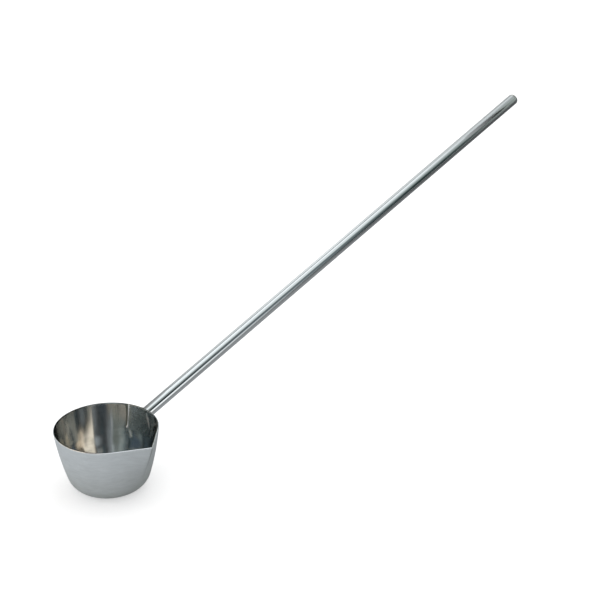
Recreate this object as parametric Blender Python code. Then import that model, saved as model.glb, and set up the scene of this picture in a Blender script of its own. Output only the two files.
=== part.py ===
# Lipped ladle: a drawn steel cup with a pressed V lip, welded to a long straight tube handle.
# Metres, +Z up. The origin is the centre of the cup's flat underside, the handle
# leans out towards +X and the lip points towards -Y.
import math

import bmesh
import bpy
from mathutils import Matrix, Vector

# cup
RIM_RADIUS = 0.069  # outside, at the rim
CUP_HEIGHT = 0.0855
BASE_RADIUS = 0.028  # of the flat underside
CORNER_RADIUS = 0.028  # outside, between underside and wall
CORNER_SWEEP = math.radians(72.8)  # the wall leaves the corner at this slope
SHEET = 0.001

# pouring lip
LIP_REACH = 0.0164  # from the rim circle to the tip of the V
LIP_DROP = 0.066  # below the rim, where its straight crease runs out in the wall
LIP_BEARING = math.radians(-90)

# plate inside the wall, behind the handle
PLATE_WIDTH = 0.044  # along the curve of the wall
PLATE_DROP = 0.038  # below the rim, down the slope of the wall
PLATE_CORNER = 0.0075
PLATE_SHEET = 0.0012
PLATE_TOP = 0.0005  # its upper edge, below the rim
PLATE_BEAD_TOP = 0.0026  # width of the edge bead at the rim
PLATE_BEAD_END = 0.0016  # and at its lower end
PLATE_BEAD_SECTION = ((0, 0), (1, 0), (0.85, 0.4), (0.5, 0.72), (0, 0.9))  # in widths, out and up

# handle
TUBE_RADIUS = 0.008
TUBE_WALL = 0.001
HANDLE_RISE = math.radians(13.8)  # slope above the horizontal
HANDLE_CROSSING = 0.028  # below the rim, where its axis would cross the cup's axis
HANDLE_REACH = 0.9017  # from that crossing to the tip
FOOT_BEAD = 0.0028  # leg of the fillet at the tube's foot
FOOT_BEAD_SECTION = ((0, 0), (0, 1), (0.22, 0.62), (0.56, 0.28), (1, 0))  # in legs, out and along
PLUG_CAP = 0.006  # length of the plug outside the tube
PLUG_SPIGOT = 0.012  # and inside it
PLUG_EDGE = 0.0048  # round of its outer edge
PLUG_CROWN = 0.0009  # height of its low dome

GAP = 0.0003  # left open between pieces that touch
CUP_STEPS = 72
CORNER_STEPS = 6
WALL_STEPS = 8
TUBE_STEPS = 32
FOOT_HALVINGS = 40  # of the search for the wall at the tube's foot
PLATE_COLUMNS = 12
PLATE_ROWS = 6
BEAD_ROWS = 8
PLUG_EDGE_STEPS = 5
PLUG_CROWN_STEPS = 3
SHARP_ANGLE = math.radians(35)  # edges over this stay crisp


def clear_scene():
    for item in list(bpy.data.objects):
        bpy.data.objects.remove(item)


def steel(name, colour, roughness):
    material = bpy.data.materials.new(name)
    material.use_nodes = True
    shader = material.node_tree.nodes["Principled BSDF"]
    shader.inputs["Base Color"].default_value = (*colour, 1)
    shader.inputs["Metallic"].default_value = 1
    shader.inputs["Roughness"].default_value = roughness
    return material


def place(name, bm, material, parent=None):
    mesh = bpy.data.meshes.new(name)
    bm.to_mesh(mesh)
    bm.free()
    mesh.shade_smooth()
    mesh.set_sharp_from_angle(angle=SHARP_ANGLE)
    mesh.materials.append(material)
    item = bpy.data.objects.new(name, mesh)
    item.parent = parent
    bpy.context.collection.objects.link(item)
    return item


# The wall of the cup is an arc that leaves the corner arc without a kink and ends at the rim.
def wall_arc():
    start = Vector((
        BASE_RADIUS + CORNER_RADIUS * math.sin(CORNER_SWEEP),
        CORNER_RADIUS * (1 - math.cos(CORNER_SWEEP)),
    ))
    chord = Vector((RIM_RADIUS, CUP_HEIGHT)) - start
    inward = Vector((-math.sin(CORNER_SWEEP), math.cos(CORNER_SWEEP)))
    radius = chord.length_squared / (2 * chord.dot(inward))
    return start, start + inward * radius, radius


WALL_START, WALL_CENTRE, WALL_RADIUS = wall_arc()


def outside_radius(height):
    return WALL_CENTRE.x + math.sqrt(WALL_RADIUS ** 2 - (height - WALL_CENTRE.y) ** 2)


def cup_profile():
    points = [Vector((0, 0))]
    for step in range(CORNER_STEPS + 1):
        turn = CORNER_SWEEP * step / CORNER_STEPS
        points.append(Vector((
            BASE_RADIUS + CORNER_RADIUS * math.sin(turn),
            CORNER_RADIUS * (1 - math.cos(turn)),
        )))
    for step in range(1, WALL_STEPS + 1):
        height = WALL_START.y + (CUP_HEIGHT - WALL_START.y) * step / WALL_STEPS
        points.append(Vector((outside_radius(height), height)))
    return points


# Seen from above, the lip is two straight lines tangent to the wall's circle that meet at the tip.
# Its reach falls away evenly from the rim down to LIP_DROP, so that the crease is straight.
def lip_stretch(bearing, height, radius):
    drop = (CUP_HEIGHT - height) / LIP_DROP
    reach = LIP_REACH * (1 - drop)
    half_angle = math.acos(radius / (radius + reach))
    off = abs(math.remainder(bearing - LIP_BEARING, math.tau))
    return 1 / math.cos(max(0, half_angle - off))


def make_bowl(material):
    bm = bmesh.new()
    line = [bm.verts.new((point.x, 0, point.y)) for point in cup_profile()]
    edges = [bm.edges.new(pair) for pair in zip(line, line[1:])]
    bmesh.ops.spin(
        bm, geom=line + edges, cent=(0, 0, 0), axis=(0, 0, 1), angle=math.tau, steps=CUP_STEPS
    )
    bmesh.ops.remove_doubles(bm, verts=bm.verts, dist=1e-6)
    for vert in bm.verts:
        radius = vert.co.xy.length
        if vert.co.z > CUP_HEIGHT - LIP_DROP:
            vert.co.xy *= lip_stretch(math.atan2(vert.co.y, vert.co.x), vert.co.z, radius)
    bmesh.ops.recalc_face_normals(bm, faces=bm.faces)
    bowl = place("bowl", bm, material)
    wall = bowl.modifiers.new("sheet", "SOLIDIFY")
    wall.thickness = SHEET
    wall.offset = -1
    wall.use_even_offset = True
    return bowl


# A point inside the cup: along the curve of the wall from the handle's side, down its slope
# from the rim, and a height off the inner face.
def inside_point(along, down, lift):
    rim_slope = math.asin((CUP_HEIGHT - WALL_CENTRE.y) / WALL_RADIUS)
    slope = rim_slope - down / WALL_RADIUS
    radius = WALL_RADIUS - SHEET - lift
    out = WALL_CENTRE.x + radius * math.cos(slope)
    bearing = along / out
    height = WALL_CENTRE.y + radius * math.sin(slope)
    return Vector((out * math.cos(bearing), out * math.sin(bearing), height))


# A solid that runs through a row of rings: closed into a loop, or with both ends filled.
def loft(rings, looped):
    bm = bmesh.new()
    rows = [[bm.verts.new(point) for point in ring] for ring in rings]
    pairs = list(zip(rows, rows[1:]))
    if looped:
        pairs.append((rows[-1], rows[0]))
    else:
        bm.faces.new(rows[0])
        bm.faces.new(rows[-1])
    for near, far in pairs:
        for i in range(len(near)):
            after = (i + 1) % len(near)
            bm.faces.new((near[i], near[after], far[after], far[i]))
    bmesh.ops.recalc_face_normals(bm, faces=bm.faces)
    return bm


# Half the plate's width at a distance down the wall: full, then rounding in at the lower corners.
def plate_half_width(down):
    past = max(0, down - (PLATE_DROP - PLATE_CORNER))
    return PLATE_WIDTH / 2 - PLATE_CORNER + math.sqrt(max(0, PLATE_CORNER ** 2 - past ** 2))


def plate_levels():
    straight = PLATE_DROP - PLATE_CORNER
    for row in range(PLATE_ROWS):
        yield PLATE_TOP + (straight - PLATE_TOP) * row / PLATE_ROWS
    for row in range(PLATE_ROWS + 1):
        yield straight + PLATE_CORNER * math.sin(math.pi / 2 * row / PLATE_ROWS)


def make_plate(material):
    rings = []
    for down in plate_levels():
        half = plate_half_width(down)
        across = [half * (2 * i / PLATE_COLUMNS - 1) for i in range(PLATE_COLUMNS + 1)]
        back = [inside_point(along, down, GAP) for along in across]
        front = [inside_point(along, down, GAP + PLATE_SHEET) for along in reversed(across)]
        rings.append(back + front)
    return place("inner_backing_plate", loft(rings, looped=False), material)


# A bead beside an upright edge of the plate, wide at the rim and narrow where it stops.
def make_plate_bead(name, side, material):
    rings = []
    for row in range(BEAD_ROWS + 1):
        share = row / BEAD_ROWS
        down = PLATE_TOP + (PLATE_DROP - PLATE_CORNER - PLATE_TOP) * share
        width = PLATE_BEAD_TOP + (PLATE_BEAD_END - PLATE_BEAD_TOP) * share
        edge = PLATE_WIDTH / 2 + GAP
        rings.append([
            inside_point(side * (edge + width * out), down, GAP + width * up)
            for out, up in PLATE_BEAD_SECTION
        ])
    return place(name, loft(rings, looped=False), material)


def make_handle_frame():
    frame = bpy.data.objects.new("handle_axis", None)
    frame.location = (0, 0, CUP_HEIGHT - HANDLE_CROSSING)
    frame.rotation_euler = (0, -HANDLE_RISE, 0)
    bpy.context.collection.objects.link(frame)
    return frame


# Along the handle's own +X: where a line parallel to its axis stands clear of the wall.
def foot_start(turn, radius, clearance):
    crossing = Vector((0, 0, CUP_HEIGHT - HANDLE_CROSSING))
    lean = Matrix.Rotation(-HANDLE_RISE, 3, "Y")
    low, high = BASE_RADIUS, 2 * RIM_RADIUS
    for _ in range(FOOT_HALVINGS):
        middle = (low + high) / 2
        point = crossing + lean @ Vector((middle, radius * math.cos(turn), radius * math.sin(turn)))
        if point.xy.length < outside_radius(point.z) + clearance:
            low = middle
        else:
            high = middle
    return high


def ring(radius, reach):
    turns = [math.tau * i / TUBE_STEPS for i in range(TUBE_STEPS)]
    return [Vector((reach(turn), radius * math.cos(turn), radius * math.sin(turn))) for turn in turns]


def make_tube(frame, material):
    bore = TUBE_RADIUS - TUBE_WALL
    end = HANDLE_REACH - PLUG_CAP
    rings = [
        ring(TUBE_RADIUS, lambda turn: foot_start(turn, TUBE_RADIUS, GAP)),
        ring(TUBE_RADIUS, lambda turn: end),
        ring(bore, lambda turn: end),
        ring(bore, lambda turn: foot_start(turn, bore, GAP)),
    ]
    return place("handle_tube", loft(rings, looped=True), material, frame)


# The fillet runs from its root up the tube, down a slightly hollow face and out along the wall.
def make_foot_bead(frame, material):
    rings = []
    for out, along in FOOT_BEAD_SECTION:
        radius = TUBE_RADIUS + GAP + FOOT_BEAD * out
        clearance = GAP + FOOT_BEAD * along
        rings.append(ring(radius, lambda turn: foot_start(turn, radius, clearance)))
    return place("handle_foot_weld", loft(rings, looped=True), material, frame)


def make_plug(frame, material):
    shoulder = HANDLE_REACH - PLUG_CAP + GAP
    spigot = TUBE_RADIUS - TUBE_WALL - GAP
    edge_start = HANDLE_REACH - PLUG_CROWN - PLUG_EDGE
    outline = [(spigot, shoulder - PLUG_SPIGOT), (spigot, shoulder), (TUBE_RADIUS, shoulder)]
    for step in range(PLUG_EDGE_STEPS + 1):
        turn = math.pi / 2 * step / PLUG_EDGE_STEPS
        radius = TUBE_RADIUS - PLUG_EDGE * (1 - math.cos(turn))
        outline.append((radius, edge_start + PLUG_EDGE * math.sin(turn)))
    for step in range(1, PLUG_CROWN_STEPS):
        share = 1 - step / PLUG_CROWN_STEPS
        outline.append(((TUBE_RADIUS - PLUG_EDGE) * share, HANDLE_REACH - PLUG_CROWN * share ** 2))
    rings = [ring(radius, lambda turn: reach) for radius, reach in outline]
    return place("handle_end_plug", loft(rings, looped=False), material, frame)


clear_scene()
make_bowl(steel("satin steel", (0.60, 0.61, 0.61), 0.38))
make_plate(steel("rolled plate", (0.50, 0.51, 0.50), 0.30))
for bead_name, bead_side in (("plate_edge_weld_left", 1), ("plate_edge_weld_right", -1)):
    make_plate_bead(bead_name, bead_side, steel(bead_name + " bead", (0.62, 0.60, 0.55), 0.35))
handle = make_handle_frame()
make_tube(handle, steel("polished tube", (0.70, 0.71, 0.71), 0.12))
make_foot_bead(handle, steel("foot bead", (0.58, 0.57, 0.53), 0.35))
make_plug(handle, steel("polished plug", (0.68, 0.69, 0.70), 0.18))
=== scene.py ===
# Lipped ladle: fine surfaces, finishes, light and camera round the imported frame.
# Metres, +Z up: the handle leans out towards +X and the lip points towards -Y.
from math import cos, pi, radians, sin, tau

import bmesh
import bpy
import numpy as np
from mathutils import Matrix, Vector


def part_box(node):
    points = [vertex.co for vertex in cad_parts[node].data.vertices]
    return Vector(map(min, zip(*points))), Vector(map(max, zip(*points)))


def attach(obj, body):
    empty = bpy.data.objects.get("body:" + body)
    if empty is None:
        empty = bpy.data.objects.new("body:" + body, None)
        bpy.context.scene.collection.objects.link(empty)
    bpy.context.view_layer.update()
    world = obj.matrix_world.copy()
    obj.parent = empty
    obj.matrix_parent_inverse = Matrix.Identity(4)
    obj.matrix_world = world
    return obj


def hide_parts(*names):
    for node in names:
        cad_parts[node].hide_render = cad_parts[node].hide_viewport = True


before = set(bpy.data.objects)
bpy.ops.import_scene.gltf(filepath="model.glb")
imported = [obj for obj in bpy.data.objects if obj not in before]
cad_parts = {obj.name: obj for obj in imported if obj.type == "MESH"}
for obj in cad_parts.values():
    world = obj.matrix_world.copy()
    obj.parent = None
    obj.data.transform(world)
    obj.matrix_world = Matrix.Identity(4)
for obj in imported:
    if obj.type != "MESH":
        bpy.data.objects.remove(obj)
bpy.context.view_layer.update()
bowlLow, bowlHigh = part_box("bowl")

meshing = {
    "sharpAngle": radians(32),  # edges over this stay crisp
    "merge": 1e-6,  # points closer than this become one
    "flat": 1e-7,  # edges shorter than this are dropped
}


def smoothStep(low, high, values):
    share = np.clip((values - low) / (high - low), 0, 1)
    return share * share * (3 - 2 * share)


def unit(vectors):
    return vectors / np.linalg.norm(vectors, axis=-1, keepdims=True)


# A skin through a grid of points. Columns go round and close on themselves; rows run along the
# shape, and end in poles or close into a ring.
def skinMesh(name, grid, poles=(), ring=False):
    rows, columns = grid.shape[:2]
    here = np.arange(rows * columns).reshape(rows, columns)
    if ring:
        here = np.vstack((here, here[:1]))
    beside = np.roll(here, -1, axis=1)
    quads = np.stack((here[:-1], beside[:-1], beside[1:], here[1:]), -1).reshape(-1, 4).tolist()
    points = grid.reshape(-1, 3)
    if len(poles):
        first = len(points)
        points = np.vstack((points, poles))
        fan = np.full(columns, first)
        quads += np.stack((fan, beside[0], here[0]), -1).tolist()
        quads += np.stack((here[-1], beside[-1], fan + 1), -1).tolist()
    mesh = bpy.data.meshes.new(name)
    mesh.from_pydata(points, [], quads)
    mesh.shade_smooth()
    return mesh


def storeValue(mesh, name, values):
    layer = mesh.attributes.new(name, "FLOAT", "POINT")
    layer.data.foreach_set("value", np.asarray(values, np.float32).ravel())


def meshPoints(mesh):
    points = np.empty(len(mesh.vertices) * 3, np.float32)
    mesh.vertices.foreach_get("co", points)
    return points.reshape(-1, 3)


def markSharp(mesh):
    mesh.set_sharp_from_angle(angle=meshing["sharpAngle"])


def addPiece(name, mesh, node, material):
    piece = bpy.data.objects.new(name, mesh)
    bpy.context.scene.collection.objects.link(piece)
    mesh.materials.append(material)
    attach(piece, "root")
    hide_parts(node)
    print(f"{name}: {len(mesh.polygons)} faces")


cup = {
    "rimRadius": bowlHigh.x,  # outside
    "height": bowlHigh.z,
    "baseRadius": 0.028,
    "cornerRadius": 0.028,
    "cornerSweep": radians(72.8),
    "sheet": 0.001,
    "rimRound": 0.0009,  # of the rim's outer edge
    "rimSwell": 0.0006,  # by which the trimmed edge is thicker than the sheet
    "rimRun": 0.0016,  # depth over which it thickens
    "rimShade": 0.85,  # how dark its level top is painted: a painted shade line
    "waves": ((7, 0.4, 0.00007), (11, 2.1, 0.00004), (17, 5.2, 0.00002)),  # count round, phase, height
    "ease": 0.0012,  # how much thicker the wall gets towards the corner inside
    "easeSpan": (0.026, 0.044),  # height over which it does
    "heatSpread": 0.0036,  # of the tint round the welds
    "columns": 400,
    "flatRows": 6,
    "cornerRows": 24,
    "wallRows": 80,
    "rimRows": 8,
}

lip = {
    "reach": -bowlLow.y - bowlHigh.x,
    "drop": 0.066,  # below the rim, where the crease runs out
    "bearing": -pi / 2,
    "creaseRound": 0.0003,  # half width of the crease at the tip
    "creaseSpread": 0.0055,  # added by its lower end
    "foldShift": 0.0006,  # of the painted shade line outside, off the crease
    "foldWidth": 0.0012,  # its half width
    "foldShades": ((0.3, 0.006), (0.66, 0.027)),  # how dark the painted shade is at the tip, and how far down it fades
    "crowding": 0.8,  # how closely the columns gather at the lip
}

dent = {  # a knock inside, under the plate's corner, with a painted highlight smear on it
    "along": 0.0212,
    "below": 0.039,
    "tilt": 0.5,  # along, for each metre down
    "width": 0.0025,
    "length": 0.0052,
    "lift": 0.0012,
    "wornAndSheen": 1.0,  # how strongly its painted highlight smear shows
}


# The wall is an arc that leaves the corner arc without a kink and ends at the rim.
def wallArc():
    sweep = cup["cornerSweep"]
    start = np.array((
        cup["baseRadius"] + cup["cornerRadius"] * sin(sweep),
        cup["cornerRadius"] * (1 - cos(sweep)),
    ))
    chord = np.array((cup["rimRadius"], cup["height"])) - start
    inward = np.array((-sin(sweep), cos(sweep)))
    radius = chord @ chord / (2 * chord @ inward)
    return start, start + inward * radius, radius


wallStart, wallCentre, wallRadius = wallArc()


# Outside radius of the wall arc at a height.
def outsideRadius(height):
    return wallCentre[0] + np.sqrt(wallRadius ** 2 - (height - wallCentre[1]) ** 2)


# Outline of the cup from the middle of its underside to the rim: flat, corner arc, wall arc.
def outsideOutline():
    flat = cup["baseRadius"] * np.linspace(0, 1, cup["flatRows"] + 1)[1:]
    turn = np.linspace(0, cup["cornerSweep"], cup["cornerRows"] + 1)[1:]
    corner = cup["baseRadius"] + cup["cornerRadius"] * np.sin(turn)
    rise = np.linspace(wallStart[1], cup["height"] - cup["rimRound"], cup["wallRows"] + 1)[1:]
    radius = np.concatenate((flat, corner, outsideRadius(rise)))
    height = np.concatenate((np.zeros_like(flat), cup["cornerRadius"] * (1 - np.cos(turn)), rise))
    return radius, height


# Seen from above, the lip is two straight lines tangent to the wall that meet at the tip.
# The angle off the lip goes through sqrt(off^2 + round^2), which rounds the crease, more so lower down.
def lipStretch(bearing, height, radius):
    drop = np.clip((cup["height"] - height) / lip["drop"], 0, 1)
    reach = lip["reach"] * (1 - drop)
    crease = (lip["creaseRound"] + lip["creaseSpread"] * drop) / radius
    half = np.arccos(radius / (radius + reach)) + crease
    off = np.abs((bearing - lip["bearing"] + pi) % tau - pi)
    return 1 / np.cos(np.maximum(0, half - np.hypot(off, crease)))


# How much painted shade the fold of the lip gets at a point outside: a bell beside the crease, which fades
# downwards.
def foldShadeShare(points):
    down = cup["height"] - points[..., 2]
    fade = sum(share * np.exp(-(down / reach) ** 2) for share, reach in lip["foldShades"])
    across = (points[..., 0] - lip["foldShift"]) / lip["foldWidth"]
    return fade * np.exp(-across ** 2) * (points[..., 1] < 0)


# How much of the dent is at a place on the wall: a slanted bell that is 1 at its middle.
def dentShare(bearing, height):
    below = cup["height"] - height - dent["below"]
    along = ((bearing + pi) % tau - pi) * cup["rimRadius"] - dent["along"] + dent["tilt"] * below
    return np.exp(-(along / dent["width"]) ** 2 - (below / dent["length"]) ** 2)


# How thick the cup's wall is: the sheet, thicker at the rim and towards the corner, with a few low
# waves round the inside that a drawn wall keeps, and the bump of the dent.
def wallThickness(bearing, height):
    top = cup["height"]
    aboveBase = smoothStep(0, wallStart[1], height)
    thick = cup["sheet"] + cup["rimSwell"] * smoothStep(top - cup["rimRun"], top - cup["rimRound"], height)
    thick = thick + cup["ease"] * aboveBase * (1 - smoothStep(*cup["easeSpan"], height))
    onWall = aboveBase * smoothStep(0, cup["rimRun"], top - height)
    for count, phase, lift in cup["waves"]:
        thick = thick + lift * np.sin(count * bearing + phase) * onWall
    return thick + dent["lift"] * dentShare(bearing, height)


# The cup: outside outline turned about Z and stretched at the lip, a rim that is a quarter round
# and then level as far as its sharp inner edge, and the inside one wall thickness off along the normal.
def cupSkin(material):
    turns = np.linspace(0, tau, cup["columns"], endpoint=False)
    bearing = lip["bearing"] + turns - lip["crowding"] * np.sin(turns)
    radius, height = (values[:, None] for values in outsideOutline())
    out = radius * lipStretch(bearing, height, radius)
    outside = np.stack((out * np.cos(bearing), out * np.sin(bearing), height + 0 * out), -1)
    around = np.roll(outside, -1, axis=1) - np.roll(outside, 1, axis=1)
    normal = unit(np.cross(around, np.gradient(outside, axis=0)))
    inside = outside - wallThickness(bearing, height)[..., None] * normal
    turn = np.linspace(0, pi / 2, cup["rimRows"] + 1)[1:, None]
    rim = outside[-1] - cup["rimRound"] * (1 - np.cos(turn))[..., None] * normal[-1]
    rim[..., 2] = cup["height"] - cup["rimRound"] * (1 - np.sin(turn))
    inside[-1, :, 2] = cup["height"]
    grid = np.concatenate((outside, rim, inside[::-1]))
    mesh = skinMesh("drawn_cup", grid, poles=((0, 0, 0), (0, 0, cup["sheet"])))
    markSharp(mesh)
    rimStart, rimEnd = len(outside), len(outside) + len(rim)
    inner, edge, dark = np.zeros((3, *grid.shape[:2]))
    inner[rimStart:] = 1
    # the rim's round edge takes the bright bare-metal colour: partly a rubbed edge, partly a painted
    # highlight
    edge[rimStart:rimEnd - 1] = 1
    # painted shade along the outside crease of the lip
    dark[:rimStart] = foldShadeShare(outside)
    # the rim's level top is painted near black, a painted shade line
    dark[rimEnd - 1:rimEnd + 1] = cup["rimShade"]
    inner = np.append(inner, (0, 1))
    points = meshPoints(mesh)
    # the dent is painted with bright bare-metal colour, a painted highlight smear
    dentSheen = dent["wornAndSheen"] * dentShare(np.arctan2(points[:, 1], points[:, 0]), points[:, 2])
    storeValue(mesh, "inside", inner)
    storeValue(mesh, "wornAndSheen", np.maximum(np.append(edge, (0, 0)), inner * dentSheen))
    storeValue(mesh, "paintedShade", np.append(dark, (0, 0)))
    storeValue(mesh, "weldHeat", weldHeat(points, cup["heatSpread"]))
    addPiece("drawn_cup", mesh, "bowl", material)


plate = {
    "width": 0.044,
    "drop": 0.038,
    "corner": 0.0075,
    "top": 0.0005,
    "sheet": 0.0012,
    "edgeRound": 0.0005,
    "feather": 0.016,  # height over which its lower edge is ground away
    "heatSpread": 0.003,
    "lift": 0.0001,  # its back, off the wall
    "columns": 121,
    "rows": 101,
    "printRadius": 0.0082,  # ring that the tube's weld left in the plate
    "printWidth": 0.0022,
    "printDepth": 0.00005,
    "paintedStreak": ((-0.008, 0.004), (-0.0185, 0.0235)),  # ends of a painted reflection streak, along and down the wall
    "paintedStreakWidth": 0.0018,
    "streakStrength": 0.9,
}


# A point inside the cup: along the curve of the wall from the handle's side, down its slope
# from the rim, and a lift off the inner face.
def insidePoint(along, down, lift):
    slope = np.arcsin((cup["height"] - wallCentre[1]) / wallRadius) - down / wallRadius
    radius = wallRadius - cup["sheet"] - lift
    out = wallCentre[0] + radius * np.cos(slope)
    height = wallCentre[1] + radius * np.sin(slope)
    return np.stack((out * np.cos(along / out), out * np.sin(along / out), height), -1)


# Distance in from the plate's outline: a rectangle whose two lower corners are round.
def plateDepth(along, down):
    corner = plate["corner"]
    side = np.maximum(0, np.abs(along) - plate["width"] / 2 + corner)
    low = np.maximum(0, down - plate["drop"] + corner)
    square = np.minimum(plate["width"] / 2 - np.abs(along), plate["drop"] - down)
    rounded = np.where((side > 0) & (low > 0), corner - np.hypot(side, low), square)
    return np.maximum(0, np.minimum(rounded, down - plate["top"]))


# How much of the painted reflection streak is at a point of the plate: a bell round the straight line between
# its ends, which fades towards both.
def paintedStreakShare(points):
    first, last = np.array(plate["paintedStreak"])
    along = np.arctan2(points[:, 1], points[:, 0]) * np.hypot(points[:, 0], points[:, 1])
    place = np.stack((along, cup["height"] - points[:, 2]), -1) - first
    run = last - first
    share = np.clip(place @ run / (run @ run), 0, 1)
    away = np.linalg.norm(place - share[:, None] * run, axis=-1)
    return np.exp(-(away / plate["paintedStreakWidth"]) ** 2) * np.sqrt(np.sin(pi * share))


# Front and back of the plate share their border: doubles are merged and the flat rests are dropped.
def closeSheet(mesh):
    sheet = bmesh.new()
    sheet.from_mesh(mesh)
    bmesh.ops.remove_doubles(sheet, verts=sheet.verts, dist=meshing["merge"])
    bmesh.ops.dissolve_degenerate(sheet, edges=sheet.edges, dist=meshing["flat"])
    bmesh.ops.recalc_face_normals(sheet, faces=sheet.faces)
    sheet.to_mesh(mesh)
    sheet.free()
    mesh.shade_smooth()


# The plate: a grid across and down the wall, lifted by its sheet with a quarter-round edge, thinned
# towards its lower edge, and pressed in a little along the ring that the tube's weld printed through.
def plateSkin(material):
    across = np.sin(np.linspace(-1, 1, plate["columns"]) * pi / 2)[None, :]
    share = ((1 - np.cos(np.linspace(0, pi, plate["rows"]))) / 2)[:, None]
    down = plate["top"] + (plate["drop"] - plate["top"]) * share
    past = np.maximum(0, down - plate["drop"] + plate["corner"])
    half = plate["width"] / 2 - plate["corner"] + np.sqrt(np.maximum(0, plate["corner"] ** 2 - past ** 2))
    along = across * half
    down = down + 0 * along
    depth = np.minimum(plateDepth(along, down) / plate["edgeRound"], 1)
    feather = smoothStep(0, plate["feather"], plate["drop"] - down)
    lift = plate["lift"] + plate["sheet"] * np.sqrt(depth * (2 - depth)) * feather
    foot = handlePoint(np.array(cup["rimRadius"]), 0.0, 0.0)
    fromPrint = np.linalg.norm(insidePoint(along, down, lift) - foot, axis=-1) - plate["printRadius"]
    lift = lift - plate["printDepth"] * np.exp(-(fromPrint / plate["printWidth"]) ** 2) * depth
    face = insidePoint(along, down, lift)
    back = insidePoint(along, down, plate["lift"] + 0 * lift)
    mesh = skinMesh("backing_plate", np.concatenate((face, back[:, ::-1]), axis=1))
    closeSheet(mesh)
    points = meshPoints(mesh)
    storeValue(mesh, "weldHeat", weldHeat(points, plate["heatSpread"]))
    # a painted reflection: a bright streak of bare-metal colour down the plate
    storeValue(mesh, "wornAndSheen", plate["streakStrength"] * paintedStreakShare(points))
    addPiece("backing_plate", mesh, "inner_backing_plate", material)


edgeBead = {
    "topWidth": 0.008,
    "endWidth": 0.0042,
    "taper": 3.0,  # how soon it narrows from the top
    "height": 0.6,  # in widths
    "lowHeight": 0.12,  # of the bead that was ground down
    "past": 0.0042,  # how far the bead that wasn't runs round the plate's corner
    "skirt": 0.0003,  # height of its thin outer side
    "sink": 0.0007,  # depth of its underside in the wall
    "overlap": 0.2,  # of the width that lies on the plate
    "lean": 4.0,  # how strongly its crest leans towards the plate
    "ripplePitch": 0.0011,
    "rippleDepth": 0.00014,
    "crescent": 0.35,  # bend of the ripples, in widths
    "endRound": 0.0016,
    "rows": 240,
    "columns": 36,
    "toe": (0.26, 0.4),  # share of the width across which the painted shade of its outer side begins
    "toeShade": 0.94,
    "knobAbove": 0.0024,  # the bead's end
    "knobRadius": 0.0016,
    "knobLift": 0.0018,
    "pitAt": (0.0021, 0.0013),  # out from the plate's edge, and below the knob
    "pitRadius": 0.0011,
    "pitDepth": 0.0002,
}


# An edge bead: a low dome carried down the plate's edge, its crest towards the plate, that narrows
# downwards and has round ends. The bead that was left as welded has overlapping crescent ripples, painted
# shade along its thin outer side, and a knob with a pit beside it where the torch was lifted, painted near
# black as shade.
def edgeBeadSkin(name, node, side, asWelded, material):
    edge = plate["width"] / 2
    proud = edgeBead["height"] if asWelded else edgeBead["lowHeight"]
    length = plate["drop"] - plate["corner"] - plate["top"] + asWelded * edgeBead["past"]
    share = ((1 - np.cos(np.linspace(0, pi, edgeBead["rows"] + 2)[1:-1])) / 2)[:, None]
    down = plate["top"] + length * share
    narrowing = (edgeBead["topWidth"] - edgeBead["endWidth"]) * (1 - share) ** edgeBead["taper"]
    fromEnd = np.clip(np.minimum(share, 1 - share) * length / edgeBead["endRound"], 0, 1)
    width = (edgeBead["endWidth"] + narrowing) * np.sqrt(fromEnd * (2 - fromEnd))
    turn = np.linspace(0, tau, edgeBead["columns"], endpoint=False)[None, :]
    outer = (1 + np.cos(turn)) / 2
    upper = np.maximum(0, np.sin(turn))
    phase = (down + width * edgeBead["crescent"] * np.cos(turn) ** 2) / edgeBead["ripplePitch"]
    ripple = asWelded * edgeBead["rippleDepth"] * np.abs(np.sin(pi * phase))
    lift = width * proud * upper * (1 - outer) ** edgeBead["lean"] + (ripple + edgeBead["skirt"]) * upper
    lift = lift - edgeBead["sink"] * np.maximum(0, -np.sin(turn))
    along = edge + width * (outer - edgeBead["overlap"])
    knobDown = plate["top"] + length - edgeBead["knobAbove"]
    pitAlong, pitDown = edge + edgeBead["pitAt"][0], knobDown + edgeBead["pitAt"][1]
    knob = np.exp(-(np.hypot(along - edge, down - knobDown) / edgeBead["knobRadius"]) ** 2)
    pit = np.exp(-(np.hypot(along - pitAlong, down - pitDown) / edgeBead["pitRadius"]) ** 2)
    lift = lift + asWelded * upper * (edgeBead["knobLift"] * knob - edgeBead["pitDepth"] * pit)
    grid = insidePoint(side * along, down, lift)
    middle = edge + edgeBead["endWidth"] * (0.5 - edgeBead["overlap"])
    ends = insidePoint(side * np.full(2, middle), plate["top"] + np.array((0, length)), np.zeros(2))
    # painted shade: a dark line along the bead's thin outer side, and near black in the pit
    toe = edgeBead["toeShade"] * smoothStep(*edgeBead["toe"], outer) * (1 - knob)
    paintedShade, wornAndSheen = asWelded * np.maximum(pit, toe), asWelded * knob
    if side > 0:
        grid, paintedShade, wornAndSheen = grid[:, ::-1], paintedShade[:, ::-1], wornAndSheen[:, ::-1]
    mesh = skinMesh(name, grid, poles=ends)
    storeValue(mesh, "weldHeat", np.ones(len(mesh.vertices)))
    storeValue(mesh, "paintedShade", np.append(paintedShade, (0, 0)))
    storeValue(mesh, "wornAndSheen", np.append(wornAndSheen, (0, 0)))
    addPiece(name, mesh, node, material)


handle = {
    "rise": radians(13.8),
    "crossing": 0.028,  # below the rim, where its axis would cross the cup's axis
    "reach": 0.9017,
    "radius": 0.008,
    "wall": 0.001,
    "edge": 0.00012,  # chamfer at the joint with the plug
    "heatSpread": 0.006,
    "columns": 96,
    "rows": 90,
    "crowding": 1.5,  # how closely the rows gather at the foot
    "halvings": 40,
}


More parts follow.
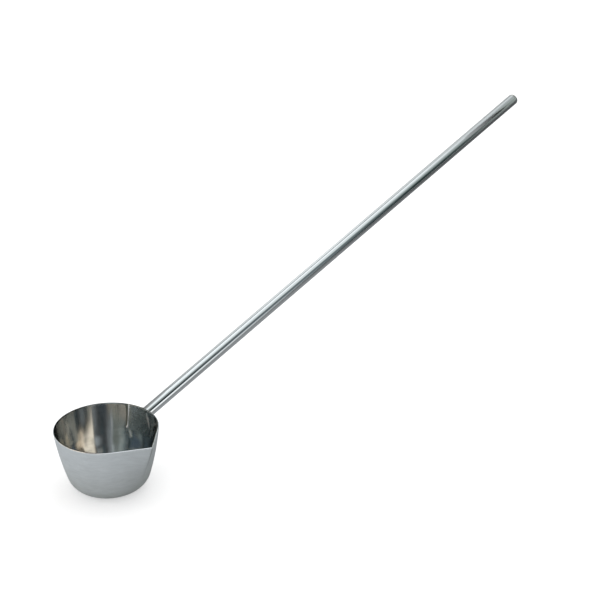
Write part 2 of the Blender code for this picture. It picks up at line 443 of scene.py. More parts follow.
# Along the handle's axis, round it and out from it, to a point in the frame.
def handlePoint(along, turn, radius):
    side, up = radius * np.cos(turn), radius * np.sin(turn)
    rise = handle["rise"]
    return np.stack((
        along * cos(rise) - up * sin(rise),
        side + 0 * along,
        along * sin(rise) + up * cos(rise) + cup["height"] - handle["crossing"],
    ), -1)


# Where a line along the handle, at a turn and a radius, stands clear of the wall: found by halving.
def footStart(turn, radius, clearance):
    low = np.full(np.broadcast(turn, radius).shape, cup["baseRadius"])
    high = np.full_like(low, 2 * cup["rimRadius"])
    for _ in range(handle["halvings"]):
        middle = (low + high) / 2
        point = handlePoint(middle, turn, radius)
        clear = np.hypot(point[..., 0], point[..., 1]) > outsideRadius(point[..., 2]) + clearance
        low, high = np.where(clear, low, middle), np.where(clear, middle, high)
    return high


# How warm a point got while the handle and plate were welded: 1 on a weld, fading with distance.
def weldHeat(points, spread):
    foot = handlePoint(np.array(cup["rimRadius"]), 0.0, 0.0)
    fromFoot = np.abs(np.linalg.norm(points - foot, axis=-1) - handle["radius"])
    outward = np.hypot(points[:, 0], points[:, 1])
    along = np.arctan2(points[:, 1], points[:, 0]) * outward
    below = np.maximum(0, cup["height"] - plate["drop"] + plate["corner"] - points[:, 2])
    inner = outward < outsideRadius(np.clip(points[:, 2], wallStart[1], cup["height"])) - cup["sheet"] / 2
    fromEdge = np.hypot(np.abs(along) - plate["width"] / 2, below)
    near = np.where(inner, np.minimum(fromEdge, fromFoot + plate["sheet"]), fromFoot)
    return np.exp(-(near / spread) ** 2)


# The tube: a straight round skin from its saddle-cut foot to the plug, down the bore and back.
def tubeSkin(material):
    turn = np.linspace(0, tau, handle["columns"], endpoint=False)[None, :]
    bore = handle["radius"] - handle["wall"]
    end = handle["reach"] - plug["cap"]
    share = (np.linspace(0, 1, handle["rows"]) ** handle["crowding"])[:, None]
    start = footStart(turn, handle["radius"], 0.0)
    outside = handlePoint(start + (end - handle["edge"] - start) * share, turn, handle["radius"])
    chamfer = handlePoint(end + 0 * turn, turn, handle["radius"] - handle["edge"])
    boreEnd = handlePoint(end + 0 * turn, turn, bore)
    boreFoot = handlePoint(footStart(turn, bore, 0.0), turn, bore)
    grid = np.concatenate((outside, chamfer, boreEnd, boreFoot))[:, ::-1]
    mesh = skinMesh("polished_tube", grid, ring=True)
    markSharp(mesh)
    storeValue(mesh, "weldHeat", weldHeat(meshPoints(mesh), handle["heatSpread"]))
    addPiece("polished_tube", mesh, "handle_tube", material)


footBead = {
    "leg": 0.003,
    "hollow": 0.32,  # how far its face dips below a straight fillet
    "ripplePitch": 0.0013,
    "rippleDepth": 0.1,  # in legs
    "rippleMiddle": 0.6,  # height of a ripple at which the leg is as given
    "crescent": 0.8,  # bend of the ripples, in radians of their phase
    "bite": 0.0001,  # depth of its two edges in the tube and the wall
    "root": (0.0004, 0.0003),  # depth of its hidden corner in the tube and the wall
    "columns": 300,
    "rows": 15,
}


# The foot bead: a hollow fillet section carried round the tube's foot, rippled along the way.
def footBeadSkin(material):
    turn = np.linspace(0, tau, footBead["columns"], endpoint=False)[:, None]
    share = np.linspace(0, 1, footBead["rows"])[None, :]
    count = round(tau * handle["radius"] / footBead["ripplePitch"])
    phase = turn * count / 2 + footBead["crescent"] * (share - 0.5) ** 2
    ripple = footBead["rippleDepth"] * (np.abs(np.sin(phase)) - footBead["rippleMiddle"])
    leg = footBead["leg"] * (1 + ripple)
    hollow = footBead["hollow"] * np.sin(pi * share) / 2
    out = np.maximum(0, share - hollow) * leg
    along = np.maximum(0, 1 - share - hollow) * leg
    inTube, inWall = footBead["root"]
    radius = handle["radius"] + np.hstack((out - footBead["bite"], 0 * turn - inTube))
    clearance = np.hstack((along - footBead["bite"], 0 * turn - inWall))
    turn = turn + 0 * radius
    mesh = skinMesh("foot_bead", handlePoint(footStart(turn, radius, clearance), turn, radius), ring=True)
    storeValue(mesh, "weldHeat", np.ones(len(mesh.vertices)))
    addPiece("foot_bead", mesh, "handle_foot_weld", material)


plug = {
    "cap": 0.006,
    "spigot": 0.012,
    "lead": 0.0008,  # chamfer of the spigot's end
    "gap": 0.00012,
    "edge": 0.0048,
    "crown": 0.0009,
    "edgeRows": 18,
    "crownRows": 10,
}


# The plug: its outline turned about the handle's axis, from the spigot in the bore to the low dome.
def plugSkin(material):
    outer = handle["radius"]
    shoulder = handle["reach"] - plug["cap"] + plug["gap"]
    spigot = outer - handle["wall"] - plug["gap"]
    spigotEnd = shoulder - plug["spigot"]
    edge = np.linspace(0, pi / 2, plug["edgeRows"])
    crown = np.linspace(1, 0, plug["crownRows"] + 1)[1:-1]
    edgeStart = handle["reach"] - plug["crown"] - plug["edge"]
    radius = np.concatenate((
        (spigot - plug["lead"], spigot, spigot, outer - handle["edge"], outer),
        outer - plug["edge"] * (1 - np.cos(edge)),
        (outer - plug["edge"]) * crown))[:, None]
    along = np.concatenate((
        (spigotEnd, spigotEnd + plug["lead"], shoulder, shoulder, shoulder + handle["edge"]),
        edgeStart + plug["edge"] * np.sin(edge),
        handle["reach"] - plug["crown"] * crown ** 2))[:, None]
    turn = np.linspace(0, tau, handle["columns"], endpoint=False)[None, :]
    grid = handlePoint(along + 0 * turn, turn, radius)
    ends = handlePoint(np.array((spigotEnd, handle["reach"])), np.zeros(2), np.zeros(2))
    mesh = skinMesh("domed_plug", grid[:, ::-1], poles=ends)
    markSharp(mesh)
    storeValue(mesh, "weldHeat", np.zeros(len(mesh.vertices)))
    addPiece("domed_plug", mesh, "handle_end_plug", material)


# A node with its values set.
def addNode(tree, kind, values=None, **settings):
    node = tree.nodes.new(kind)
    for name, value in settings.items():
        setattr(node, name, value)
    for name, value in (values or {}).items():
        node.inputs[name].default_value = value
    return node


def newGroup(name, inputs, outputs):
    group = bpy.data.node_groups.new(name, "ShaderNodeTree")
    for label, kind in inputs.items():
        group.interface.new_socket(label, in_out="INPUT", socket_type="NodeSocket" + kind)
    for label, kind in outputs.items():
        group.interface.new_socket(label, in_out="OUTPUT", socket_type="NodeSocket" + kind)
    return group, group.nodes.new("NodeGroupInput"), group.nodes.new("NodeGroupOutput")


turnedLines = {
    "noises": {"Lines": (1.0, 3.0), "Bands": (0.12, 2.0)},  # share of the fineness, and detail
    "roughness": 0.6,
}


# Fine rings left by a polishing wheel while the piece turns about Z, and broader bands: noise that is
# long round the axis and short along the outline. Both are 0..1 round 0.5.
def turnedLinesGroup():
    group, given, made = newGroup("turnedLines", {"Vector": "Vector", "Length": "Float", "Fineness": "Float"},
                                  {"Lines": "Float", "Bands": "Float"})
    link = group.links.new
    split = addNode(group, "ShaderNodeSeparateXYZ")
    link(given.outputs["Vector"], split.inputs[0])
    flat = addNode(group, "ShaderNodeCombineXYZ")
    link(split.outputs["X"], flat.inputs["X"])
    link(split.outputs["Y"], flat.inputs["Y"])
    out = addNode(group, "ShaderNodeVectorMath", operation="LENGTH")
    link(flat.outputs[0], out.inputs[0])
    station = addNode(group, "ShaderNodeMath", operation="ADD")
    link(split.outputs["Z"], station.inputs[0])
    link(out.outputs["Value"], station.inputs[1])
    for label, (share, detail) in turnedLines["noises"].items():
        fine = addNode(group, "ShaderNodeMath", {1: share}, operation="MULTIPLY")
        link(given.outputs["Fineness"], fine.inputs[0])
        ringed = addNode(group, "ShaderNodeMath", operation="MULTIPLY")
        link(station.outputs[0], ringed.inputs[0])
        link(fine.outputs[0], ringed.inputs[1])
        upright = addNode(group, "ShaderNodeCombineXYZ")
        link(ringed.outputs[0], upright.inputs["Z"])
        place = addNode(group, "ShaderNodeVectorMath", operation="MULTIPLY_ADD")
        link(flat.outputs[0], place.inputs[0])
        link(given.outputs["Length"], place.inputs[1])
        link(upright.outputs[0], place.inputs[2])
        noise = addNode(group, "ShaderNodeTexNoise", {
            "Scale": 1.0, "Detail": detail, "Roughness": turnedLines["roughness"]})
        link(place.outputs[0], noise.inputs["Vector"])
        link(noise.outputs["Fac"], made.inputs[label])
    return group


useMarks = {
    "smudge": {"Detail": 4.0, "Roughness": 0.55, "Distortion": 0.4},
    "smudgeEdge": (0.35, 0.68),  # where the noise begins to be a smudge, and is one
    "bend": {"Scale": 22.0, "Detail": 2.0},
    "sway": 0.02,  # how far it bends the scratches
    "hair": 0.035,  # width of a scratch, in cells
}


# Marks of use: soft smudges, and short hair scratches that lie every way.
def useMarksGroup():
    group, given, made = newGroup(
        "useMarks", {"Vector": "Vector", "Smudge Size": "Float", "Scratch Size": "Float"},
        {"Smudge": "Float", "Scratch": "Float"})
    link = group.links.new
    smudge = addNode(group, "ShaderNodeTexNoise", useMarks["smudge"])
    link(given.outputs["Vector"], smudge.inputs["Vector"])
    link(given.outputs["Smudge Size"], smudge.inputs["Scale"])
    first, last = useMarks["smudgeEdge"]
    soften = addNode(group, "ShaderNodeMapRange", {"From Min": first, "From Max": last},
                     interpolation_type="SMOOTHSTEP")
    link(smudge.outputs["Fac"], soften.inputs["Value"])
    link(soften.outputs["Result"], made.inputs["Smudge"])
    bent = addNode(group, "ShaderNodeTexNoise", useMarks["bend"])
    link(given.outputs["Vector"], bent.inputs["Vector"])
    moved = addNode(group, "ShaderNodeVectorMath", {1: [useMarks["sway"]] * 3}, operation="MULTIPLY_ADD")
    link(bent.outputs["Color"], moved.inputs[0])
    link(given.outputs["Vector"], moved.inputs[2])
    hairs = addNode(group, "ShaderNodeTexVoronoi", feature="DISTANCE_TO_EDGE")
    link(moved.outputs[0], hairs.inputs["Vector"])
    link(given.outputs["Scratch Size"], hairs.inputs["Scale"])
    thin = addNode(group, "ShaderNodeMapRange", {"From Max": useMarks["hair"], "To Min": 1.0, "To Max": 0.0})
    link(hairs.outputs["Distance"], thin.inputs["Value"])
    broken = addNode(group, "ShaderNodeMath", operation="MULTIPLY")
    link(thin.outputs["Result"], broken.inputs[0])
    link(soften.outputs["Result"], broken.inputs[1])
    link(broken.outputs[0], made.inputs["Scratch"])
    return group


heatTint = {
    "patches": {"Scale": 240.0, "Detail": 3.0},
    "unevenness": 0.3,
    "tints": ((0.0, (1.0, 1.0, 1.0)), (0.3, (0.95, 0.86, 0.66)), (0.55, (0.72, 0.54, 0.36)),
              (0.8, (0.52, 0.47, 0.42)), (1.0, (0.56, 0.58, 0.6))),  # heat, and its colour over the steel
}


# Colours that welding heat leaves in steel: straw, then brown, then a little blue where it was hottest.
def heatTintGroup():
    group, given, made = newGroup(
        "heatTint", {"Vector": "Vector", "Heat": "Float", "Steel": "Color", "Amount": "Float"},
        {"Color": "Color"})
    link = group.links.new
    uneven = addNode(group, "ShaderNodeTexNoise", heatTint["patches"])
    link(given.outputs["Vector"], uneven.inputs["Vector"])
    swing = heatTint["unevenness"]
    shift = addNode(group, "ShaderNodeMapRange", {"To Min": -swing, "To Max": swing})
    link(uneven.outputs["Fac"], shift.inputs["Value"])
    ragged = addNode(group, "ShaderNodeMath", operation="MULTIPLY_ADD")
    link(shift.outputs["Result"], ragged.inputs[0])
    link(given.outputs["Heat"], ragged.inputs[1])
    link(given.outputs["Heat"], ragged.inputs[2])
    ramp = addNode(group, "ShaderNodeValToRGB")
    for place, _ in heatTint["tints"][2:]:
        ramp.color_ramp.elements.new(place)
    for stop, (place, tint) in zip(ramp.color_ramp.elements, heatTint["tints"]):
        stop.position = place
        stop.color = (*tint, 1)
    link(ragged.outputs[0], ramp.inputs["Fac"])
    blend = addNode(group, "ShaderNodeMix", data_type="RGBA", blend_type="MULTIPLY")
    link(given.outputs["Amount"], blend.inputs["Factor"])
    link(given.outputs["Steel"], blend.inputs["A"])
    link(ramp.outputs["Color"], blend.inputs["B"])
    link(blend.outputs["Result"], made.inputs["Color"])
    return group


groups = {"lines": turnedLinesGroup(), "marks": useMarksGroup(), "heat": heatTintGroup()}
print("finishes: groups made")

# One entry for each finish: steel colour and share of metal; roughness, and what the cup's inside, bare
# metal and painted sheen, polishing lines and bands, smudges and scratches add to it; how far lines and bands
# swing the colour (grain), and lines lift the surface (bump); heat tint; stretch of the highlights across the
# lines;
# and the length and fineness of the lines and the sizes of the marks, per metre.
plainSteel = {"metal": 1.0, "inside": 0.0, "wornAndSheen": 0.0, "tint": 0.0, "stretch": 0.0}
weldSteel = {
    **plainSteel, "lines": 0.02, "bands": 0.04, "scratch": 0.02, "grain": 0.1, "bump": 0.02,
    "length": 200.0, "fineness": 300.0, "smudgeSize": 260.0, "scratchSize": 500.0,
}
finishes = {
    "satinCup": {
        **plainSteel, "steel": (0.6, 0.62, 0.625), "roughness": 0.36, "inside": -0.24, "wornAndSheen": 0.04,
        "tint": 0.2, "stretch": 0.6,
        "lines": 0.1, "bands": 0.05, "smudge": 0.02, "scratch": 0.04, "grain": 0.24, "bump": 0.04,
        "length": 60.0, "fineness": 1400.0, "smudgeSize": 32.0, "scratchSize": 190.0,
    },
    "rolledPlate": {
        **plainSteel, "steel": (0.47, 0.51, 0.52), "roughness": 0.24, "wornAndSheen": 0.45,
        "tint": 0.1, "stretch": 0.4,
        "lines": 0.06, "bands": 0.06, "smudge": 0.03, "scratch": 0.04, "grain": 0.14, "bump": 0.03,
        "length": 40.0, "fineness": 900.0, "smudgeSize": 90.0, "scratchSize": 260.0,
    },
    "brightWeld": {
        **weldSteel, "steel": (0.93, 0.95, 0.93), "metal": 0.2, "roughness": 0.4, "wornAndSheen": -0.22,
        "smudge": 0.06,
    },
    "footWeld": {
        **weldSteel, "steel": (0.74, 0.75, 0.74), "roughness": 0.3, "lines": 0.03, "bands": 0.05,
        "smudge": 0.08, "scratch": 0.03, "grain": 0.12, "tint": 0.22,
    },
    "dullWeld": {
        **weldSteel, "steel": (0.47, 0.51, 0.52), "roughness": 0.24, "smudge": 0.1,
    },
    "polishedTube": {
        **plainSteel, "steel": (0.66, 0.67, 0.67), "roughness": 0.08, "tint": 0.12,
        "lines": 0.04, "bands": 0.03, "smudge": 0.04, "scratch": 0.05, "grain": 0.06, "bump": 0.01,
        "length": 60.0, "fineness": 900.0, "smudgeSize": 26.0, "scratchSize": 300.0,
    },
    "polishedPlug": {
        **plainSteel, "steel": (0.64, 0.65, 0.66), "roughness": 0.17,
        "lines": 0.08, "bands": 0.05, "smudge": 0.06, "scratch": 0.08, "grain": 0.08, "bump": 0.02,
        "length": 90.0, "fineness": 2400.0, "smudgeSize": 60.0, "scratchSize": 420.0,
    },
}

steelMarks = {
    "wornAndSheen": (0.9, 0.91, 0.92),  # bare, rubbed metal, also the colour of the painted highlights and painted reflection
    # near black colour of the painted shade
    "paintedShade": (0.07, 0.08, 0.055),
    "stretchTurn": 0.25,  # of a whole turn
    "bumpDepth": 0.0002,
}


# Steel finish: heat tint, bare metal and painted sheen, painted shade and grain give the colour; polishing
# lines, bands, smudges and scratches add to the roughness; the lines also give a slight bump. The handle's
# finishes turn about the handle's axis.
def steelFinish(name, onHandle=False):
    look = finishes[name]
    material = bpy.data.materials.new(name)
    material.use_nodes = True
    tree = material.node_tree
    link = tree.links.new
    shader = tree.nodes["Principled BSDF"]
    shader.inputs["Metallic"].default_value = look["metal"]
    shader.inputs["Anisotropic"].default_value = look["stretch"]
    shader.inputs["Anisotropic Rotation"].default_value = steelMarks["stretchTurn"]
    place = addNode(tree, "ShaderNodeTexCoord").outputs["Object"]
    if onHandle:
        turned = addNode(tree, "ShaderNodeMapping", {
            "Location": (0, 0, cup["height"] - handle["crossing"]),
            "Rotation": (0, pi / 2 - handle["rise"], 0)}, vector_type="TEXTURE")
        link(place, turned.inputs["Vector"])
        place = turned.outputs["Vector"]
    lines, marks, heat = (
        addNode(tree, "ShaderNodeGroup", node_tree=groups[effect]) for effect in ("lines", "marks", "heat"))
    for effect, values in (
            (lines, {"Length": look["length"], "Fineness": look["fineness"]}),
            (marks, {"Smudge Size": look["smudgeSize"], "Scratch Size": look["scratchSize"]}),
            (heat, {"Steel": (*look["steel"], 1), "Amount": look["tint"]})):
        link(place, effect.inputs["Vector"])
        for label, value in values.items():
            effect.inputs[label].default_value = value
    inner, warmed, wornAndSheen, paintedShadeShare = (
        addNode(tree, "ShaderNodeAttribute", attribute_name=layer).outputs["Fac"]
        for layer in ("inside", "weldHeat", "wornAndSheen", "paintedShade"))
    link(warmed, heat.inputs["Heat"])
    colour = heat.outputs["Color"]
    # bare metal and painted sheen lighten the colour; painted shade darkens it
    for share, tone in ((wornAndSheen, steelMarks["wornAndSheen"]), (paintedShadeShare, steelMarks["paintedShade"])):
        mixed = addNode(tree, "ShaderNodeMix", data_type="RGBA")
        link(share, mixed.inputs["Factor"])
        link(colour, mixed.inputs["A"])
        mixed.inputs["B"].default_value = (*tone, 1)
        colour = mixed.outputs["Result"]
    streaks = addNode(tree, "ShaderNodeMath", operation="ADD")
    link(lines.outputs["Lines"], streaks.inputs[0])
    link(lines.outputs["Bands"], streaks.inputs[1])
    grain = addNode(tree, "ShaderNodeMapRange", {
        "From Max": 2.0, "To Min": 1 - look["grain"], "To Max": 1 + look["grain"]})
    link(streaks.outputs[0], grain.inputs["Value"])
    grained = addNode(tree, "ShaderNodeVectorMath", operation="SCALE")
    link(colour, grained.inputs[0])
    link(grain.outputs["Result"], grained.inputs["Scale"])
    link(grained.outputs[0], shader.inputs["Base Color"])
    plain = look["roughness"] - (look["lines"] + look["bands"]) / 2
    total = None
    for source, share in (
            (inner, "inside"), (wornAndSheen, "wornAndSheen"),
            (lines.outputs["Lines"], "lines"), (lines.outputs["Bands"], "bands"),
            (marks.outputs["Smudge"], "smudge"), (marks.outputs["Scratch"], "scratch")):
        step = addNode(tree, "ShaderNodeMath", {1: look[share], 2: plain}, operation="MULTIPLY_ADD")
        link(source, step.inputs[0])
        if total is not None:
            link(total, step.inputs[2])
        total = step.outputs[0]
    link(total, shader.inputs["Roughness"])
    bump = addNode(tree, "ShaderNodeBump", {"Strength": look["bump"], "Distance": steelMarks["bumpDepth"]})
    link(lines.outputs["Lines"], bump.inputs["Height"])
    link(bump.outputs["Normal"], shader.inputs["Normal"])
    return material


cupSkin(steelFinish("satinCup"))
plateSkin(steelFinish("rolledPlate"))
edgeBeadSkin("edge_bead_left", "plate_edge_weld_left", 1, True, steelFinish("brightWeld"))
edgeBeadSkin("edge_bead_right", "plate_edge_weld_right", -1, False, steelFinish("dullWeld"))
tubeSkin(steelFinish("polishedTube", onHandle=True))
footBeadSkin(steelFinish("footWeld"))
plugSkin(steelFinish("polishedPlug", onHandle=True))


# A stage sheet that only reflections see, with a colour on each of its points.
def addCard(name, grid, colours, shaderKind="ShaderNodeEmission"):
    rows, columns = grid.shape[:2]
    here = np.arange(rows * columns).reshape(rows, columns)
    quads = np.stack((here[:-1, :-1], here[:-1, 1:], here[1:, 1:], here[1:, :-1]), -1).reshape(-1, 4)
    mesh = bpy.data.meshes.new(name)
    mesh.from_pydata(grid.reshape(-1, 3), [], quads.tolist())
    mesh.shade_smooth()
    layer = mesh.attributes.new("tone", "FLOAT_COLOR", "POINT")
    layer.data.foreach_set("color", np.insert(colours, 3, 1, axis=-1).astype(np.float32).ravel())
    material = bpy.data.materials.new(name)
    material.use_nodes = True
    tree = material.node_tree
    tree.nodes.clear()
    shader = addNode(tree, shaderKind)
    end = addNode(tree, "ShaderNodeOutputMaterial")
    tone = addNode(tree, "ShaderNodeAttribute", attribute_name="tone")
    tree.links.new(tone.outputs["Color"], shader.inputs["Color"])
    tree.links.new(shader.outputs[0], end.inputs["Surface"])
    mesh.materials.append(material)
    card = bpy.data.objects.new(name, mesh)
    bpy.context.scene.collection.objects.link(card)
    card.visible_camera = False
    card.visible_diffuse = False
    card.visible_shadow = False


dome = {
    "radius": 3.0,
    "low": -2.0,  # degrees above the floor, seen from the cup
    "rows": 93,
    "columns": 361,
}

# What the steel mirrors of the room: soft-edged panels on a dark dome, which add up. Each has its span of
# bearing and height and the softness of its edges, all in degrees seen from the cup, and its colour.
panels = {
    "warmWindow": ((124, 172), (32, 54), (8, 6), (2.1, 1.82, 1.48)),
    "windowSide": ((157, 212), (24, 33), (14, 4), (1.75, 1.38, 1.0)),
    "leftWall": ((80, 125), (17, 54), (6, 8), (0.74, 0.68, 0.58)),
    "leftWarm": ((105, 120), (25, 37), (5, 4), (0.5, 0.32, 0.22)),
    "leftSweep": ((88, 200), (-8, 10), (10, 5), (0.8, 0.95, 1.05)),
    "frontSweep": ((-160, -85), (-8, 14), (10, 4), (1.25, 1.28, 1.32)),
    "frontMiddle": ((-140, -76), (20, 44), (10, 8), (0.12, 0.16, 0.2)),
    "frontHigh": ((-175, -95), (60, 84), (10, 5), (1.6, 1.62, 1.65)),
    "rightSweep": ((-70, -56), (-8, 20), (8, 3), (1.65, 1.69, 1.72)),
    "rightVeil": ((-59, -48), (14, 42), (3, 6), (0.14, 0.16, 0.18)),
    "rightDim": ((-85, -32), (0, 46), (6, 6), (0.03, 0.05, 0.05)),
    "rightRise": ((-85, -30), (50, 64), (8, 10), (0.52, 0.56, 0.57)),
    "rightGlow": ((-47, -16), (31, 58), (6, 6), (0.31, 0.35, 0.35)),
    "rightStep": ((-40, -32), (6, 30), (2, 5), (0.4, 0.43, 0.41)),
    "endHigh": ((-12, 14), (45, 54), (6, 3), (0.45, 0.48, 0.5)),
    "rightMiddle": ((-32, 36), (10, 46), (6, 6), (0.3, 0.32, 0.29)),
    "rightHigh": ((-36, -6), (52, 100), (12, 6), (0.8, 0.87, 0.9)),
    "rightTop": ((-85, -20), (66, 100), (14, 6), (0.9, 0.98, 1.0)),
    "overhead": ((-6, 42), (54, 100), (12, 3), (1.35, 1.42, 1.45)),
    "overheadBack": ((42, 70), (58, 100), (12, 3), (1.35, 1.42, 1.45)),
    "behindSweep": ((4, 34), (-8, 12), (8, 4), (0.65, 0.68, 0.72)),
    "behindMiddle": ((12, 36), (40, 54), (8, 4), (0.82, 0.88, 0.9)),
    "backStrip": ((34, 84), (-8, 12), (8, 3), (1.6, 1.62, 1.65)),
    "backTop": ((36, 86), (56, 61), (6, 4), (0.9, 0.94, 0.96)),
    "backDim": ((38, 84), (14, 54), (6, 6), (0.08, 0.115, 0.13)),
}


def softSpan(values, low, high, soft):
    return smoothStep(low - soft, low + soft, values) * (1 - smoothStep(high - soft, high + soft, values))


# The dome: points of a sphere round the cup by bearing and height, lit by the panels.
def addDome():
    bearing = np.linspace(-180, 180, dome["columns"])[None, :]
    height = np.linspace(dome["low"], 90, dome["rows"])[:, None]
    turn, rise = np.radians(bearing), np.radians(height)
    grid = dome["radius"] * np.stack((
        np.cos(rise) * np.cos(turn), np.cos(rise) * np.sin(turn), np.sin(rise) + 0 * turn), -1)
    colours = np.zeros_like(grid)
    for (first, last), heights, (sideSoft, topSoft), colour in panels.values():
        off = (bearing - (first + last) / 2 + 180) % 360 - 180
        share = softSpan(off, (first - last) / 2, (last - first) / 2, sideSoft)
        share = share * softSpan(height, *heights, topSoft)
        colours += share[..., None] * np.array(colour)
    addCard("studio_dome", grid, colours)


# A film on the floor that only reflections pass through. Its tone swings with the cosine of the bearing
# round the cup, brightest towards the window. It is darker close to the cup, and in soft patches beside
# the handle's foot and beyond its far end.
film = {
    "lift": 0.0004,
    "radius": (0.02, 3.2),
    "rings": 121,
    "spokes": 241,
    "middle": (0.63, 0.66, 0.685),
    "swing": (0.15, 0.155, 0.165),
    "bearing": radians(175),
    "nearReach": 0.08,
    "nearShare": (0.28, 0.3, 0.37),
    "patches": ((0.26, -0.22, 0.16, 0.3), (1.35, -0.45, 0.85, 0.86)),  # x, y, radius, share taken away
}


def addFilm():
    first, last = film["radius"]
    radius = first + (last - first) * np.linspace(0, 1, film["rings"])[:, None] ** 2
    bearing = np.linspace(-pi, pi, film["spokes"])[None, :]
    x, y = radius * np.cos(bearing), radius * np.sin(bearing)
    colours = film["middle"] + np.cos(bearing - film["bearing"])[..., None] * film["swing"]
    near = np.exp(-(radius / film["nearReach"]) ** 2)[..., None]
    colours = colours * (1 - near * film["nearShare"])
    for patchX, patchY, reach, share in film["patches"]:
        away = np.hypot(x - patchX, y - patchY) / reach
        colours = colours * (1 - share * np.exp(-away ** 2))[..., None]
    grid = np.stack((x, y, np.full_like(x, film["lift"])), -1)
    addCard("studio_film", grid, np.clip(colours, 0, 1), "ShaderNodeBsdfTransparent")


cardTint = (0.96, 1.0, 1.02)

# A white card along the handle, which lightens its upper edge: the points of the card's lower and upper
# edge, and the tones along both.
handleCard = {
    "lower": ((0.2, 0.26, 0.04), (0.6, 0.26, 0.138), (1.15, 0.26, 0.273)),
    "upper": ((0.2, 0.26, 0.4), (0.6, 0.26, 0.498), (1.15, 0.26, 0.633)),
    "tones": ((0.42, 0.95, 0.42), (0.55, 1.45, 0.6)),
}

# A dim flag that stands between the cup and the white card, and keeps the card from shining into the
# cup: its distance from the cup's axis, bearings in degrees, heights, and for each height the tones along it.
cupFlag = {
    "radius": 0.15,
    "bearing": (18, 35, 48.5, 54, 68),
    "height": (0.106, 0.18, 0.26, 0.45),
    "tones": ((0.42, 0.2, 0.1, 0.05, 0.05), (0.62, 0.42, 0.3, 0.1, 0.12),
              (0.7, 0.5, 0.2, 0.08, 0.1), (0.5, 0.4, 0.1, 0.06, 0.08)),
}

# A dim flag round the handle's axis beyond its end, which draws the dark point near the tip: the stations
# of its upright lines along the handle, the turns about the axis where each begins and ends, and its tones.
endFlag = {
    "away": 0.25,
    "along": (0.965, 1.0, 1.02, 1.045, 1.06, 1.068),
    "turn": ((88, 93, 101, 126, 138, 150), (150, 157, 160, 164, 166, 162)),
    "tones": (0.5, 0.36, 0.2, 0.0, 0.0, 0.0),
    "rows": 9,
}


def cardTones(tones):
    return np.array(tones)[..., None] * cardTint


def addCards():
    grid = np.array((handleCard["lower"], handleCard["upper"]))
    addCard("studio_handleWhite", grid, cardTones(handleCard["tones"]))
    bearing, height = np.radians(cupFlag["bearing"]), np.array(cupFlag["height"])[:, None]
    x, y = cupFlag["radius"] * np.cos(bearing), cupFlag["radius"] * np.sin(bearing)
    grid = np.stack((x + 0 * height, y + 0 * height, height + 0 * bearing), -1)
    addCard("studio_cupFlag", grid, cardTones(cupFlag["tones"]))
    first, last = np.radians(endFlag["turn"])
    turn = first + (last - first) * np.linspace(0, 1, endFlag["rows"])[:, None]
    grid = handlePoint(np.array(endFlag["along"]) + 0 * turn, turn, endFlag["away"])
    addCard("studio_endFlag", grid, cardTones(endFlag["tones"]) + 0 * grid)


room = {
    "ambient": 0.78,  # what the room gives to dull surfaces
    "floorSize": 14.0,
    "floorTone": 0.7,
    "floorGlow": 0.33,  # shown to the camera and in reflections, over the floor's own shading
    "floorLift": 0.13,  # shown to the camera alone, which keeps the shadow light
}


# 1 for what the camera sees directly, in reflections or through glass, and 0 for light on dull surfaces.
def seenDirectly(tree):
    path = addNode(tree, "ShaderNodeLightPath")
    seen = path.outputs["Is Camera Ray"]
    for other in ("Is Glossy Ray", "Is Transmission Ray"):
        either = addNode(tree, "ShaderNodeMath", operation="MAXIMUM")
        tree.links.new(seen, either.inputs[0])
        tree.links.new(path.outputs[other], either.inputs[1])
        seen = either.outputs[0]
    return seen


# The room is white where it is seen directly, and gives a plain level of light to everything else.
def addWorld():
    world = bpy.data.worlds.new("studioRoom")
    bpy.context.scene.world = world
    world.use_nodes = True
    tree = world.node_tree
    light = tree.nodes["Background"]
    light.inputs["Color"].default_value = (1, 1, 1, 1)
    level = addNode(tree, "ShaderNodeMapRange", {"To Min": room["ambient"], "To Max": 1.0})
    tree.links.new(seenDirectly(tree), level.inputs["Value"])
    tree.links.new(level.outputs["Result"], light.inputs["Strength"])


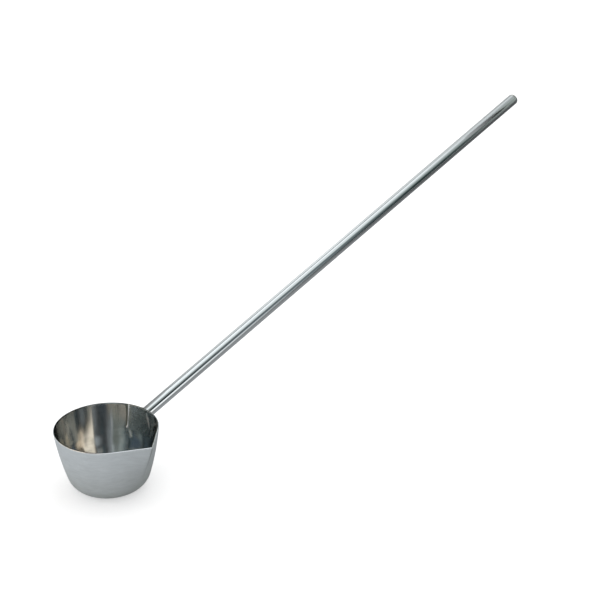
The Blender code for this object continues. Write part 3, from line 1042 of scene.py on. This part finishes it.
def addFloor():
    half = room["floorSize"] / 2
    mesh = bpy.data.meshes.new("studio_floor")
    corners = ((-half, -half, 0), (half, -half, 0), (half, half, 0), (-half, half, 0))
    mesh.from_pydata(corners, [], [(0, 1, 2, 3)])
    material = bpy.data.materials.new("paleFloor")
    material.use_nodes = True
    tree = material.node_tree
    shader = tree.nodes["Principled BSDF"]
    shader.inputs["Base Color"].default_value = (*[room["floorTone"]] * 3, 1)
    shader.inputs["Roughness"].default_value = 1.0
    shader.inputs["Specular IOR Level"].default_value = 0.0
    shader.inputs["Emission Color"].default_value = (1, 1, 1, 1)
    glow = addNode(tree, "ShaderNodeMath", {1: room["floorGlow"]}, operation="MULTIPLY")
    tree.links.new(seenDirectly(tree), glow.inputs[0])
    lifted = addNode(tree, "ShaderNodeMath", {1: room["floorLift"]}, operation="MULTIPLY_ADD")
    tree.links.new(addNode(tree, "ShaderNodeLightPath").outputs["Is Camera Ray"], lifted.inputs[0])
    tree.links.new(glow.outputs[0], lifted.inputs[2])
    tree.links.new(lifted.outputs[0], shader.inputs["Emission Strength"])
    mesh.materials.append(material)
    floor = bpy.data.objects.new("studio_floor", mesh)
    bpy.context.scene.collection.objects.link(floor)


lamps = {
    "overheadSoftbox": {"at": (0.75, 0.1, 2.0), "aim": (0.75, 0.1, 0.0), "size": (2.1, 1.9), "tone": 1.0},
    "keySoftbox": {"at": (-1.0, 1.2, 0.95), "aim": (0.0, 0.0, 0.06), "size": (0.55, 0.8), "tone": 1.7},
}


# A soft box is an even area lamp; its power is its tone times its area times pi.
def addLamp(name):
    box = lamps[name]
    light = bpy.data.lights.new(name, "AREA")
    light.shape = "RECTANGLE"
    light.size, light.size_y = box["size"]
    light.energy = box["tone"] * box["size"][0] * box["size"][1] * pi
    lamp = bpy.data.objects.new(name, light)
    bpy.context.scene.collection.objects.link(lamp)
    at, aim = Vector(box["at"]), Vector(box["aim"])
    look = (aim - at).to_track_quat("-Z", "Y")
    lamp.matrix_world = Matrix.Translation(at) @ look.to_matrix().to_4x4()
    lamp.visible_glossy = False


view = {
    "at": (-1.8838, -2.0659, 1.6161),
    "turn": radians(-47.617),  # the way the camera faces, from +Y
    "pitch": radians(25.928),  # downwards
    "roll": radians(-1.85),
    "lens": 146.95,
    "sensor": 36.0,
    "farthest": 100,
}


def addCamera():
    data = bpy.data.cameras.new("photoView")
    data.lens = view["lens"]
    data.sensor_width = view["sensor"]
    data.clip_end = view["farthest"]
    camera = bpy.data.objects.new("photoView", data)
    bpy.context.scene.collection.objects.link(camera)
    camera.matrix_world = (
        Matrix.Translation(view["at"]) @ Matrix.Rotation(view["turn"], 4, "Z")
        @ Matrix.Rotation(pi / 2 - view["pitch"], 4, "X") @ Matrix.Rotation(view["roll"], 4, "Z")
    )
    bpy.context.scene.camera = camera


addWorld()
addFloor()
addDome()
addFilm()
addCards()
for lampName in lamps:
    addLamp(lampName)
addCamera()
bpy.context.scene.view_settings.view_transform = "Standard"
print("studio: floor, dome, cards, lamps and camera placed")

bpy.context.view_layer.update()
